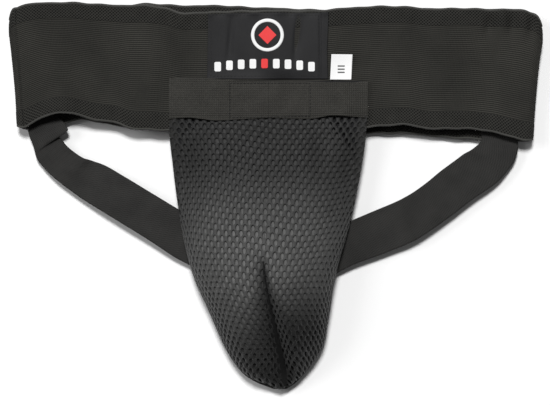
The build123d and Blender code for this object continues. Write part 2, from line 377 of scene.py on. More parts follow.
def woven(name, low, high, pitch, depth=0.15, roughness=0.85, specular=0.2, shares=(0.35, 0.5), tight_and_lit=None):
    """A plain weave or knit: shares are of its fluff and thread, and the colour given last is its colour
    where drawn tight, mixed in by a share that also carries painted shade and painted light.
    """
    s = Surface(name)
    place, along, across, tight_and_shade = s.place()
    threads = s.times(s.ripple(along, pitch[0]), s.ripple(across, pitch[1]))
    fuzz = s.noise(place, 1.8)
    share = s.times(fuzz, shares[0], s.times(threads, shares[1]))
    share = s.times(s.noise(place, 0.1, 3.0), 0.4, share)
    colour = s.blend(s.math("SUBTRACT", share, 0.2), low, high)
    if tight_and_lit:
        colour = s.blend(tight_and_shade, colour, s.blend(share, high, tight_and_lit))
    return s.finish(colour, roughness, specular, s.times(fuzz, 0.7, threads), depth)


def twill(name, low, high):
    """Elastic webbing with fine slanting lines over its lengthwise ribs."""
    s = Surface(name)
    place, along, across, _ = s.place()
    slant = s.ripple(s.times(along, 0.45, across), 1.5)
    fuzz = s.noise(place, 1.5, 3.0)
    share = s.times(slant, 0.22, s.times(s.ripple(across, RIB), 0.12))
    share = s.times(fuzz, 0.55, share)
    share = s.times(s.noise(place, 0.07, 3.0), 0.5, s.math("SUBTRACT", share, 0.32))
    height = s.times(fuzz, 0.8, s.times(slant, 0.5))
    return s.finish(s.blend(share, low, high), 0.85, 0.2, height, 0.2)


def yarn(name, low, high, scale=2.2, roughness=0.75, specular=0.3, sheen=0.0, tight_and_lit=None):
    """Thread or moulding without a visible weave, mixed towards two lighter colours where it is drawn
    tight, by a share that also carries painted shade and painted light.
    """
    s = Surface(name)
    place, _, _, tight_and_shade = s.place()
    fine = s.noise(place, scale, 3.0)
    share = s.times(s.noise(place, 0.05), 0.5, s.times(fine, 0.9, -0.3))
    colour = s.blend(share, low, high)
    if tight_and_lit:
        colour = s.blend(tight_and_shade, colour, s.blend(share, *tight_and_lit))
    return s.finish(colour, roughness, specular, fine, 0.2, sheen)


# ---- waistband

BAND_HEIGHT = 88.0
BAND_DEPTH = 11.2  # height of the front layer's outer face
BAND_THICKNESS = 1.5
CAP = BAND_DEPTH / 2
HALF = 187.0
FRONT_RUN = 2 * (HALF - CAP)
CAP_RUN = np.pi * CAP
LOOP = 2 * FRONT_RUN + 2 * CAP_RUN
EDGE = 12.0  # width of the close-woven strip along each edge

left_side = smooth((0, -182), (30, -183.5), (62, -186), (80, -187.5), (88, -187.5))
right_side = smooth((0, 180.6), (30, 182.5), (60, 185), (80, 187.3), (88, 187))
front_top = smooth(
    (-187, 121), (-185, 128), (-180, 131.6), (-170, 133.8), (-155, 134.6), (-140, 134.6), (-123, 133.4),
    (-106, 132.7), (-90, 132.6), (-78, 131), (-68, 127.8), (-54, 127.6), (-30, 128.6), (0, 129),
    (33, 129.2), (45, 130.4), (70, 131.9), (95, 131.4), (104, 130.4), (135, 130.5), (150, 129.8),
    (166, 129.8), (177, 128.2), (184, 124), (187, 117),
)
back_top = smooth(
    (-187, 121), (-183, 130), (-174, 133.2), (-148, 134.4), (-124, 133.8), (-110, 132.6), (-90, 134.6),
    (-80, 134), (-68, 133.2), (-40, 133.2), (-18, 131.9), (3, 131.2), (20, 130.4), (53, 130.2),
    (87, 131.2), (135, 130.6), (166, 130), (178, 128.4), (184, 124), (187, 117),
)
front_bottom = smooth(
    (-187, 49), (-181, 48.6), (-176, 51), (-167, 55.4), (-155, 58.4), (-147, 58), (-140, 56),
    (-123, 52.4), (-114, 51.4), (-106, 48), (-90, 46.6), (-74, 46), (0, 46), (64, 48), (87, 50), (96, 50),
    (108, 47.7), (139, 47.3), (158, 45), (171, 41.4), (181, 39.4), (187, 39.4),
)
back_bottom = smooth(
    (-187, 49), (-180, 47.5), (-170, 46.8), (-158, 49), (-147, 53), (-140, 54), (-123, 51.4),
    (-106, 48.6), (-90, 47), (-60, 46.4), (0, 46), (64, 44.4), (75, 44.4), (99, 43.8), (120, 41.6),
    (143, 40.2), (158, 39.4), (181, 39), (187, 39.2),
)


def band_swell(x, v):
    """How the front layer's face rises and falls, from soft folds and the gathers at its right end."""
    waves = 0.9 * np.sin(TAU * x / 93 + 0.6) * np.sin(v / 30) + 0.5 * np.sin(TAU * x / 41 + v / 40)
    waves += 1.6 * bump(x, -95, 14) * bump(v, 50, 45) - 1.2 * bump(x, -118, 12) + 1.0 * bump(x, 118, 16)
    gathers = 0.0
    for centre, depth in ((149.5, 3.6), (165.5, 3.2), (180.0, 3.0), (98.0, 0.6), (-60.0, 1.0)):
        gathers = gathers - depth * bump(x, centre, 3.6) * bump(v, 78, 8)
        gathers = gathers + 0.5 * depth * bump(x, centre + 8, 3.6) * bump(v, 84, 9)
    lift = 5.0 * bump(x, -156, 17) * ease((22 - v) / 22)
    sewn = ease((86 - np.abs(x + 5)) / 14) * ease((46 - v) / 12)
    lift = lift + 2.0 * bump(x, 95, 22) * ease((14 - v) / 14)
    return ((waves + gathers) * (1 - sewn) + lift) * ease((HALF - np.abs(x)) / 12)


def band_point(run, v, inset=0.0):
    """A point on the waistband's outer face: run goes round the loop, v up from its lower edge."""
    facing = np.where(np.mod(run, LOOP) < LOOP / 2, 1, -1)  # the back half is the front half turned about
    run = np.mod(run, LOOP / 2)
    turn = np.maximum(run - FRONT_RUN, 0) / CAP
    x = facing * (np.minimum(run, FRONT_RUN) - FRONT_RUN / 2 + (CAP - inset) * np.sin(turn))
    z = facing * (CAP - inset) * np.cos(turn)
    share = (x / HALF + 1) / 2
    wide = left_side(v) + share * (right_side(v) - left_side(v))
    upper = ease(z / BAND_DEPTH + 0.5)
    top = back_top(x) + upper * (front_top(x) - back_top(x))
    bottom = back_bottom(x) + upper * (front_bottom(x) - back_bottom(x))
    y = bottom + v / BAND_HEIGHT * (top - bottom)
    y = y + 0.35 * np.sin(x / 3.1) * np.sin(x / 17.0) * (np.abs(v / 44 - 1) ** 4)
    z = z + CAP + upper * band_swell(x, v)
    return spots(wide, y, z)


def ribs(run, v):
    return 0.16 * np.cos(TAU * v / RIB)


def diamonds(run, v):
    rising, falling = np.cos(TAU * (run + v) / DIAMOND), np.cos(TAU * (run - v) / DIAMOND)
    rim = ease((1.5 - np.minimum(v, BAND_HEIGHT - v)) / 1.5)
    return (0.2 * np.maximum(rising, falling)) * (1 - rim)


def waistband():
    """The loop of elastic: its ribbed middle, a close weave along each edge, and the edges' rolls."""
    for name, low, high, rows, columns, relief, material in (
        ("ribbed", EDGE, BAND_HEIGHT - EDGE, 178, 400, ribs, ELASTIC),
        ("lower_edge", 0, EDGE, 24, 1500, diamonds, DIAMONDS),
        ("upper_edge", BAND_HEIGHT - EDGE, BAND_HEIGHT, 24, 1500, diamonds, DIAMONDS),
    ):
        run = np.linspace(0, LOOP, columns, endpoint=False)
        run, v = np.meshgrid(run, np.linspace(low, high, rows))
        grid, weave = band_point(run, v), spots(run, v, 0)
        piece = cloth("waistband_" + name, grid, weave, BAND_THICKNESS, True, relief(run, v))
        dress(piece, material, "waistband", "elastic", "waistband_elastic")
    for word, v in (("lower", 0.0), ("upper", BAND_HEIGHT)):
        run = np.linspace(0, LOOP, 900, endpoint=False)
        line = band_point(run, np.full_like(run, v), inset=BAND_THICKNESS / 2)
        roll = tube("waistband_roll_" + word, line, 0.95, closed=True)
        dress(roll, EDGE_ROLL, "waistband", "elastic", "waistband_elastic")


def front_height(x, y):
    """The height of the front layer's face at a place on it."""
    low, high = front_bottom(x), front_top(x)
    v = (y - low) / (high - low) * BAND_HEIGHT
    return BAND_DEPTH + band_swell(x, v)


# ---- pouch

TIP_Y = -135.5
TIP_Z = 4.4  # the back panel's face at the tip; it slopes up to the waistband's front face
RISE = 8 / 181  # of the back panel's slope, for each step away from the tip
SLOPE = np.arctan(RISE)
MESH_PITCH = 5.3  # from hole to hole in a row
MESH_ROW = 4.15  # from row to row
MESH_TOP = 194.0  # how far up the mesh goes, behind the hem tape
HOLE = (1.12, 2.3)  # half width and half height of a hole
STRAND = 1.0  # thickness of the mesh
BINDING_WIDTH = 12.0  # before it is folded round the seam

# The seam's outline and the mesh's height, against the square root of the distance from the tip.
seam_left = smooth(
    (0, 1), (0.9, -1.5), (1.87, -6.5), (2.5, -14), (3.35, -22.4), (4.58, -30.8), (6.1, -39.2),
    (7.53, -47.6), (8.77, -56.7), (11.2, -68.2), (12.5, -72.2), (13.46, -74.6), (13.8, -74.4),
)
seam_right = smooth(
    (0, 3), (0.9, 6.5), (1.87, 11.2), (2.6, 15.6), (3.35, 19.8), (4.66, 28), (5.74, 33.4), (7.15, 36.8),
    (9.13, 42.3), (10.84, 52), (12.2, 58.6), (13.46, 63.2), (13.8, 63.7),
)
mesh_height = smooth(
    (0, 3.5), (1.2, 6.5), (2.45, 12), (4.24, 22), (5.4, 31), (6.32, 37), (7.6, 41.6),
    (8.83, 43), (10, 39.6), (10.86, 34.6), (12.4, 21.6), (13.27, 11.4), (13.7, 4.2), (13.8, 2.8),
    (13.93, 2),
)
# Where the dart runs and how deep it folds the mesh, against the distance from the tip.
dart_x = smooth((0, 6.5), (7, 7), (11.2, 7), (28, 4.2), (49, -0.7), (78, -7), (96, -9.6))
dart_depth = smooth(
    (0, 1), (4, 4.5), (12, 10.5), (24, 15.5), (36, 16.5), (50, 13), (66, 7), (82, 2.6), (98, 0),
)


def from_pocket(x, d, h):
    """A point given along the sloping back panel, in the CAD's frame."""
    y = TIP_Y + d * np.cos(SLOPE) - h * np.sin(SLOPE)
    z = TIP_Z + d * np.sin(SLOPE) + h * np.cos(SLOPE)
    return spots(x, y, z)


def pouch_point(root, t):
    """A point of the mesh: root is the square root of the distance, and t goes from -1 to 1 across."""
    d = root**2
    low, high = seam_left(root), seam_right(root)
    flat = ease((d - 92) / 85)
    bow = (1 - flat) * np.sin(np.pi * t / 2) + flat * t
    x = (low + high) / 2 + bow * (high - low) / 2
    arch = (1 - flat) * np.cos(np.pi * t / 2) + flat * (0.5 + 0.5 * np.cos(np.pi * np.abs(t) ** 1.7))
    off = x - dart_x(d)
    opening = ease((90 - d) / 56)
    wide = np.where(off < 0, 5.0 + 10.5 * opening, 3.0 + 2.5 * opening)
    valley = dart_depth(d) * np.exp(-(np.sqrt(off**2 + 0.2) / wide) ** 1.4)
    lobes = ease((70 - d) / 50) * (2.4 * bump(off, -25, 11) - 3.5 * bump(off, 20, 12))
    folds = bump(x, -52, 9) - bump(x, -36, 8) + bump(x, 47, 9) - bump(x, 31, 7)
    loose = 1.4 * bump(d, 168, 16) * folds
    dents = 0.5 * np.sin(d / 15 + x / 23) * np.sin(x / 12 - d / 31) * ease(arch * 2)
    height = mesh_height(root) * arch + (lobes - valley) * ease(arch * 1.6)
    return from_pocket(x, d, np.maximum(height + (loose + dents) * ease(arch * 3), 0.35))


def cup_top(x, y):
    """The height of the hard cup's upper side under each place, or -100 where it isn't."""
    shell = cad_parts["cup_shell"]
    tree = BVHTree.FromObject(shell, bpy.context.evaluated_depsgraph_get())
    found = np.full(x.shape, -100.0)
    for place in np.ndindex(x.shape):
        hit = tree.ray_cast((x[place] * MM, y[place] * MM, 0.2), (0, 0, -1))[0]
        if hit is not None:
            found[place] = hit.z / MM
    return found


def tightness_and_painted_shade(x, y):
    """How tightly the pouch's front is drawn over the cup, from 0 at its mouth and tip to 1, with painted
    shade in the dart's fold and towards the tip, and painted light on the right flank.
    """
    d = y - TIP_Y
    off = x - dart_x(d)
    right = ease((off + 6) / 12)
    reach = np.where(off < 0, 4.5 + 10.5 * ease((92 - d) / 60), 2.5)
    # painted shade down the dart's fold, widest on its left wall
    fold = np.exp(-((off / reach) ** 2)) * ease((98 - d) / 16)
    # painted shade towards the tip, reaching further up the right lobe
    sides = (1 - right) * ease((d - 2) / 74) + right * ease((d - 36) / 52)
    # painted light: the least share is raised towards the right flank
    slack = 0.13 + 0.1 * ease((x - 20) / 25)
    return (slack + (1 - slack) * ease((168 - d) / 72)) * sides * (1 - 0.95 * fold)


class Cover:
    """The mesh's surface by arc lengths: a across from its middle line, b down from the mouth."""

    REACH = 130.0
    STEP = 0.5

    def __init__(self):
        roots = np.linspace(np.sqrt(MESH_TOP), 0.0, 260)
        t = np.linspace(-1, 1, 241)
        grid = pouch_point(roots[:, None], t[None, :])
        n = -normals(grid)
        steps = np.linalg.norm(np.diff(grid, axis=1), axis=2)
        across = np.concatenate((np.zeros((len(roots), 1)), np.cumsum(steps, axis=1)), axis=1)
        across -= across[:, 120:121]
        self.down = lengths(grid[:, 120])
        self.low, self.high = across[:, 0], across[:, -1]
        self.length = self.down[-1]
        places = np.arange(-self.REACH, self.REACH + self.STEP, self.STEP)
        both = np.concatenate((grid, n), axis=2)
        self.table = np.stack([
            np.stack([np.interp(places, a, column) for column in row.T], axis=1)
            for a, row in zip(across, both)
        ])

    def at(self, a, b):
        """The point, the normal, and whether the place is within the seam."""
        row = np.interp(b, self.down, np.arange(len(self.down)))
        low, high = np.interp(b, self.down, self.low), np.interp(b, self.down, self.high)
        inside = (a > low) & (a < high) & (b > 0) & (b < self.length)
        column = (np.clip(a, -self.REACH, self.REACH) + self.REACH) / self.STEP
        i = np.clip(row.astype(int), 0, self.table.shape[0] - 2)
        k = np.clip(column.astype(int), 0, self.table.shape[1] - 2)
        s, u = (row - i)[..., None], (column - k)[..., None]
        near = self.table[i, k] * (1 - u) + self.table[i, k + 1] * u
        far = self.table[i + 1, k] * (1 - u) + self.table[i + 1, k + 1] * u
        value = near * (1 - s) + far * s
        return value[..., :3], unit(value[..., 3:]), inside


def stretched(a, b):
    """Where a place of the flat mesh ends up, as it is pulled a little unevenly over the cup."""
    slow = 1.3 * np.sin(b / 31 + 0.7) + 0.6 * np.sin(b / 13 + a / 21)
    rows = 2.4 * np.sin(a / 26 + 0.4) + 0.7 * np.sin(a / 9 + b / 17)
    return a + slow + 0.14 * np.sin(7.3 * a + 2.1 * b), b + rows + 0.14 * np.sin(5.7 * b - 3.3 * a)


def cell():
    """One mesh cell: rings of 12 points, from the strand's crest round the hole's edge to its back."""
    half = MESH_PITCH / 2
    v = (MESH_ROW**2 - half**2) / (2 * MESH_ROW)
    top = MESH_ROW - v
    corners = np.array([(half, v), (0, top), (-half, v), (-half, -v), (0, -top), (half, -v)])
    rim = []
    for corner, after in zip(corners, np.roll(corners, -1, axis=0)):
        rim += [corner, (corner + after) / 2]
    rim = np.array(rim)
    angle = np.arctan2(rim[:, 1], rim[:, 0])
    hole = np.stack([HOLE[0] * np.cos(angle), HOLE[1] * np.sin(angle)], axis=1)
    rings = ((0.0, 1.0), (0.38, 0.92), (0.75, 0.62), (1.0, 0.0), (0.7, -0.7), (0.0, -1.0))
    flat = np.stack([rim + share * (hole - rim) for share, _ in rings])
    return flat, np.array([height for _, height in rings]) * STRAND / 2


def mesh_side(name, cover, side):
    """The knitted mesh on one side of the middle line, with its holes."""
    flat, rise = cell()
    rows = int(cover.length / MESH_ROW) + 3
    columns = int(cover.REACH / MESH_PITCH)
    points, weave, keep = [], [], []
    for row in range(-1, rows):
        b = row * MESH_ROW
        a = (np.arange(-columns, columns + 1) + 0.5 * (row % 2)) * MESH_PITCH
        a = a[(a < -0.1) if side < 0 else (a >= -0.1)]
        places = flat[None] + np.stack([a, np.full_like(a, b)], axis=1)[:, None, None]
        on, n, inside = cover.at(*stretched(places[..., 0], places[..., 1]))
        keep.append(inside)
        points.append(on + n * rise[None, :, None, None])
        # Its colour share: how tightly the mesh is drawn over the cup, with painted shade and painted
        # light worked in.
        tight_and_shade = tightness_and_painted_shade(on[..., 0], on[..., 1])
        weave.append(np.concatenate([places, tight_and_shade[..., None]], axis=-1))
    points, weave, keep = np.concatenate(points), np.concatenate(weave), np.concatenate(keep)
    rings, sides = flat.shape[:2]
    shape = np.array(quads(rings, sides, around=True))
    index = np.arange(len(points))[:, None, None] * rings * sides + shape[None]
    alive = keep.reshape(-1)[index].sum(axis=2) >= 1
    piece = make(name, points, index[alive].tolist(), weave)
    merge(piece, 2e-5)
    return piece


def sew_sides(piece):
    """Bakes the piece's transform into its mesh."""
    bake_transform(piece)


def liner_side(name, side):
    """The liner on one side: under the mesh, slack over the cup, and open at its upper edge."""
    d = np.linspace(2.0, MESH_TOP, 190)[:, None]
    share = np.linspace(0, 1, 90)[None, :]
    reach = 1.0 - (0.30 * ease((d - 168) / 24) if side < 0 else 0.40 * ease((d - 152) / 42))
    edge = ease((share - 0.82) / 0.18) * (1 - reach) / 0.4
    puff = 0.35 * np.abs(np.sin(d / 6.0 + share * 9) * np.sin(share * 17))
    grid = pouch_point(np.sqrt(d), share * reach * side)
    n = normals(grid) * side
    rise = grid[..., 2] - TIP_Z - d * np.sin(SLOPE)
    slack = np.minimum(0.5 * ease((d - 130) / 40) + 0.8 * ease((40 - d) / 30), 0.45 * rise)
    gap = STRAND / 2 + 0.35 + puff
    touching = (grid - n * gap[..., None])[..., 2]
    grid = grid - n * (gap + slack)[..., None]
    grid[..., 2] -= 5.0 * edge * np.clip((grid[..., 2] - 13.5) / 6, 0, 1)
    resting = np.minimum(cup_top(grid[..., 0], grid[..., 1]) + 1.7, touching)
    grid[..., 2] = np.maximum(grid[..., 2], resting)
    if side < 0:
        grid = grid[:, ::-1]
    x, y = grid[..., 0], grid[..., 1]
    # The liner's colour share takes the mesh's painted shade and light, and painted light lifts it across
    # the top middle, where it lies back behind the mesh.
    top = 0.25 * ease((d - 110) / 40) * ease((58 - np.abs(x)) / 20)
    return cloth(name, grid, spots(x, y, np.maximum(tightness_and_painted_shade(x, y), top)), 0.8), grid


def plan_outline(inset, start, end, count):
    """The two sides of the pouch's plan from one distance to another, drawn in by inset."""
    d = np.linspace(np.sqrt(start), np.sqrt(end), count) ** 2
    root = np.minimum(np.sqrt(d), 13.8)
    middle = (seam_left(root) + seam_right(root)) / 2
    half = np.maximum((seam_right(root) - seam_left(root)) / 2 - inset, 0.4)
    return d, middle, half


def panel_height(d):
    """The height of the back panel's lower face over the table."""
    return np.minimum(3.2 + d * RISE, 11.2)


def back_panel():
    d, middle, half = (values[:, None] for values in plan_outline(3.0, 3.0, 215.8, 160))
    t = np.linspace(-1, 1, 90)
    x = middle + half * t
    quilt = 0.18 * np.sin(x / 5.2) * np.sin(d / 6.1) + 0.1 * np.sin(x / 2.3 + d / 3.1)
    z = panel_height(d) + 1.0 + quilt * (1 - np.abs(t)) - 0.15 * (np.abs(t) > 0.97)
    grid = spots(x, TIP_Y + d, z)
    return cloth("pouch_back_panel_knit", grid, grid, 1.0), grid


def side_binding(name, side):
    """The tape folded round the side seam, from the hem's end to the tip."""
    d, middle, half = plan_outline(2.9, 1.0, 215.5, 150)
    x = middle + side * half
    line = spots(x, TIP_Y + np.maximum(d, 2.4), panel_height(d) + 0.55)
    line = path(np.concatenate([[(middle[0], TIP_Y + 2.4, line[0, 2])], line]), 220)
    along = lengths(line)
    ahead = unit(np.gradient(line, axis=0))
    right = unit(np.cross(ahead, (0, 0, 1.0)))
    up = np.cross(right, ahead)
    fold = path([(-2.9, 0.7), (1.6, 0.7), (2.7, 0.5), (3, 0), (2.7, -0.5), (1.6, -0.7), (-2.9, -0.7)], 32)
    grid = line[:, None] + fold[:, :1] * side * right[:, None] + fold[:, 1:] * up[:, None]
    weave = spots(along[:, None], np.linspace(0, BINDING_WIDTH, 32), 0)
    return cloth(name, grid[::side], weave[::side], 0.35), float(along[-1])


def dart_tape():
    """The smooth tape that closes the dart, down its left wall, wider towards the tip."""
    d = np.linspace(92, 2, 150)[:, None]
    root = np.sqrt(d)
    low, high = seam_left(root), seam_right(root)
    width = (0.8 + 7.2 * ease((96 - d) / 84)) * (0.35 + 0.65 * ease(d / 14))
    away = np.linspace(1, 0, 16)[None, :]
    x = dart_x(d) + 0.5 - width * away
    bow = (x - (low + high) / 2) / ((high - low) / 2)
    t = np.arcsin(np.clip(bow, -0.99, 0.99)) * 2 / np.pi
    grid = pouch_point(root, t)
    grid = grid - normals(grid) * (0.85 - 0.95 * ease((away - 0.15) / 0.85))[..., None]
    weave = spots(grid[..., 1], grid[..., 0], 0)
    return cloth("dart_seam_tape", grid[::-1], weave[::-1], 0.5), grid


def pouch():
    cover = Cover()
    for side, word in ((-1, "left"), (1, "right")):
        piece = mesh_side("pouch_mesh_" + word, cover, side)
        dress(piece, MESH, None, "mesh_fabric", "pouch_mesh_front")
        sew_sides(piece)
        piece, grid = liner_side("pouch_liner_" + word, side)
        dress(piece, LINER, None, "liner_fabric", "pouch_front_liner")
        sew_sides(piece)
        piece, length = side_binding("side_binding_tape_" + word, side)
        dress(piece, TAPE, "waistband", "tape", "side_binding_" + word)
    piece, grid = back_panel()
    dress(piece, PANEL, "waistband", "liner_fabric", "pouch_back_panel")
    piece, grid = dart_tape()
    dress(piece, DART, "pouch_front", "tape", "dart_seam")


# ---- hem tape and closure

hem_top = smooth(
    (-75, 82.4), (-50, 82.2), (-34, 80.8), (-10, 79.8), (20, 79.6), (40, 79.2), (55, 79.2), (65, 80.2),
)
hem_bottom = smooth(
    (-75, 53.8), (-60, 54.3), (-43, 52.5), (-28, 53), (-5, 54.2), (12, 53.8), (28, 54), (37, 55.7),
    (50, 55.4), (65, 54),
)
HEM_ENDS = (-74.8, 64.2)
HEM_MIDDLE = -5.2
HEM_FACE = 17.9
STITCHES = (-32.2, 23.8)  # where the box stitching crosses the tape
STRIP_X = (-33.2, 22.8)
STRIP_Y = (59.3, 77.3)


def hem_height(x, y):
    """The hem tape's face: high over the closure, and down to the back panel at both ends."""
    off = np.abs(x - HEM_MIDDLE)
    droop = 3.4 * ease((off - 50) / 18)
    wave = 0.5 * np.sin(x / 9.0 + y / 14) + 0.3 * np.sin(x / 5.1 - y / 7)
    dip = sum(bump(x, place, 1.1) for place in STITCHES) + bump(y, 78.4, 0.9) * (off < 28)
    return HEM_FACE - droop + wave * 0.6 - 0.35 * dip - 0.6 * bump(y, 54, 3.0)


def hem_side(name, start, end):
    x, v = np.meshgrid(np.linspace(start, end, 180), np.linspace(0, 1, 80))
    y = hem_bottom(x) + v * (hem_top(x) - hem_bottom(x))
    grid = spots(x, y, hem_height(x, y))
    relief = 0.09 * np.cos(TAU * y / 1.3) * np.cos(TAU * x / 1.6)
    return cloth(name, grid, grid, 1.4, relief=relief)


def strip(name, low, high, rough):
    """A hook or loop strip between two heights, with a rough face."""
    x, y = np.meshgrid(np.linspace(*STRIP_X, 190), np.linspace(*STRIP_Y, 62))
    grid = spots(x, y, high)
    pile = rough * (np.sin(x * 5.1 + np.sin(y * 3)) * np.sin(y * 4.7 + np.sin(x * 2.2)))
    if rough < 0:
        grid[..., 2] = low
        grid = grid[:, ::-1]
    return cloth(name, grid, grid, high - low, relief=np.abs(pile))


def hooks():
    """Rows of small bent hooks under the hem tape."""
    turn = np.arange(5) * TAU / 5
    z, radius, out = np.array(
        [(0, 0.16, 0), (-0.7, 0.14, 0), (-1.05, 0.15, 0.12), (-1.2, 0.13, 0.36), (-1, 0.08, 0.55)]
    ).T[..., None]
    stem = spots(out + radius * np.cos(turn), radius * np.sin(turn), z).reshape(-1, 3)
    points, faces = [], []
    shape = np.array(quads(len(z), 5, around=True))
    for x in np.arange(-32.4, 22.4, 1.35):
        for y in np.arange(60.2, 76.8, 1.5):
            faces += (shape + len(points) * len(stem)).tolist()
            points.append(stem + (x, y, 15.4))
    points = np.concatenate(points)
    return make("closure_hooks", points, faces, points)


def mouth():
    left, right = HEM_ENDS
    for side, start, end, word in ((-1, left, HEM_MIDDLE, "left"), (1, HEM_MIDDLE, right, "right")):
        piece = hem_side("hem_tape_" + word, start, end)
        dress(piece, HEM, None, "tape", "hem_tape")
        sew_sides(piece)
    low, high = STITCHES
    corners = [(low, 54.2), (low, 78.4), (high, 78.4), (high, 55.4), (low + 1, 54.4)]
    line = seam("hem_box_stitching", rectangle(corners, hem_height) + (0, 0, 0.25), 0.3)
    dress(line, THREAD, "pouch_front", "thread", "hem_box_stitch")
    base = strip("closure_hook_base", 15.2, 16.4, -0.05)
    dress(base, NYLON, "pouch_front", "hook_nylon", "closure_hook_strip")
    dress(hooks(), NYLON, "pouch_front", "hook_nylon", "closure_hook_strip")
    loops = strip("closure_loop_pile", 12.5, 13.4, 0.35)
    dress(loops, LOOPS, "waistband", "loop_nylon", "closure_loop_strip")


# ---- label and size tag

LABEL_X = (-47.6, 36.4)
LABEL_FOOT = 81.6
LABEL_LIFT = 0.5
LABEL_RING = (-6.0, 112.3)
LABEL_FOLD = 31.0  # where its right end is turned under and sewn


def label_face(x, y):
    """The label's face, with its soft upright folds."""
    folds = 0.35 * np.sin(x / 4.2 + y / 60) * bump(y, 110, 24)
    folds = folds + 0.35 * np.sin(x / 2.6 + 1) * bump(y, 128.5, 3)
    folds = folds - 0.9 * bump(x - y / 9, 2.5, 2.2) * bump(y, 114, 16)
    folds = folds - 0.7 * bump(x - y / 12, -41, 2.4) * bump(y, 108, 18)
    return front_height(x, y) + LABEL_LIFT + folds + 0.5 * bump(y, 104, 20) * bump(x, -8, 34)


def label():
    x, v = np.meshgrid(np.linspace(*LABEL_X, 170), np.linspace(0, 1, 100))
    y = LABEL_FOOT + v * (front_top(x) - 1.0 - LABEL_FOOT)
    x = x - 0.7 * (1 - v) * bump(x, LABEL_X[0], 20) + 0.4 * np.sin(y / 9) * bump(x, LABEL_X[1], 10)
    grid = spots(x, y, label_face(x, y))
    fold = 0.35 * ease((x - LABEL_FOLD) / 0.8) - 0.25 * bump(x, LABEL_FOLD, 0.9)
    piece = cloth("front_label_satin", grid, grid, 0.45, relief=fold)
    dress(piece, SATIN, "waistband", "label_satin", "front_label")
    corners = [(-45.5, 83.6), (-45.5, 126.3), (29.6, 126.3), (29.6, 83.6), (-45.5, 83.6)]
    line = seam("label_edge_stitching", rectangle(corners, label_face), 0.2, dip=0.35)
    dress(line, THREAD, "waistband", "thread", "label_stitching")


def rectangle(corners, face):
    """Points along straight lines from corner to corner, on a surface."""
    points = []
    for (ax, ay), (bx, by) in zip(corners[:-1], corners[1:]):
        for share in np.linspace(0, 1, 80, endpoint=False):
            points.append((ax + share * (bx - ax), ay + share * (by - ay)))
    x, y = np.array(points).T
    return spots(x, y, face(x, y))


def ring(name, x, y, outer, inner):
    """A raised ring on the label."""
    turn = np.arange(72) * TAU / 72
    radius = np.linspace(inner, outer, 4)[:, None]
    px, py = x + radius * np.cos(turn), y + radius * np.sin(turn)
    grid = spots(px, py, label_face(px, py) + 0.3)
    return cloth(name, grid[::-1], grid[::-1], 0.35, around=True)


def label_marks():
    """A plain ring round a diamond over nine plain bars, in place of the label's own print."""
    x, y = LABEL_RING
    white = [ring("label_ring", x, y, 11.5, 9.2)]
    diamond = [(x, y - 6.3), (x + 6.3, y), (x, y + 6.3), (x - 6.3, y)]
    red = [plate("label_diamond", diamond, label_face, 0.1, 0.3)]
    for step in range(-4, 5):
        outline = rounded_box(-8 + step * 8.2, 92.4 - 2.2 * (step / 4) ** 2, 4.6, 6.6, 1.0)
        bar = plate("label_bar", outline, label_face, 0.1, 0.3)
        (white if step else red).append(bar)
    for word, pieces, material in (("white", white, WHITE_MARK), ("red", red, RED_MARK)):
        piece = join("label_mark_" + word, pieces)
        dress(piece, material, "waistband", "marks_" + word, "label_marks_" + word)


TAG_FOOT = 81.1
TAG_LENGTH = 17.6
TAG_MIDDLE = 45.3
TAG_HALF = 7.4
TAG_LEAN = 0.9


def size_tag():
    u, v = np.meshgrid(np.linspace(-1, 1, 24), np.linspace(0, 1, 40))
    x = TAG_MIDDLE + TAG_HALF * u + TAG_LEAN * v
    y = TAG_FOOT + TAG_LENGTH * v
    grid = spots(x, y, tag_face(x, y))
    piece = dress(cloth("size_tag_satin", grid, grid, 0.35), TAG_WHITE, "tag", "tag_white", "size_tag")
    outlines = [rounded_box(45.6, row, 5.0, 1.0, 0.3) for row in (86.2, 88.4, 90.6)]
    bars = [plate("tag_bar", outline, tag_face, 0.0, 0.06) for outline in outlines]
    dress(join("size_tag_print", bars), TAG_INK, "tag", "tag_white", "size_tag")


def tag_face(x, y):
    """The height of the tag's face: sewn down at its foot, and curling up to its free end."""
    v = (y - TAG_FOOT) / TAG_LENGTH
    u = (x - TAG_MIDDLE - TAG_LEAN * v) / TAG_HALF
    return front_height(x, y) + 0.7 + 1.6 * v**2 * (1 - 0.3 * u) + 0.25 * u * u


# ---- leg straps

STRAP_WIDTH = 29.0
BARTACK = 22.0  # length of a bar of stitches


def across_line(x, y, turn, z):
    """A rung of the strap square to its way, where turn is the way's angle in degrees."""
    turn = np.radians(turn)
    dx, dy = -np.sin(turn) * STRAP_WIDTH / 2, np.cos(turn) * STRAP_WIDTH / 2
    return (x + dx, y + dy, z, x - dx, y - dy, z)


def ribbon(name, rungs, rows):
    """A strap through rungs, each from its one edge to the other, with ribs along it."""
    both = path(rungs, rows)
    share = np.linspace(0, 1, 90)[:, None]
    one, other = both[:, None, :3], both[:, None, 3:]
    grid = one + share * (other - one)
    along = lengths(grid[:, 45])
    across = share[:, 0] * STRAP_WIDTH
    rim = np.minimum(across, STRAP_WIDTH - across)
    relief = 0.05 * np.cos(TAU * across / RIB) - 0.45 * bump(rim, 0, 0.5)
    weave = spots(along[:, None], across, 0)
    return cloth(name, grid, weave, 1.3, relief=relief + 0 * weave[..., 0]), float(along[-1])


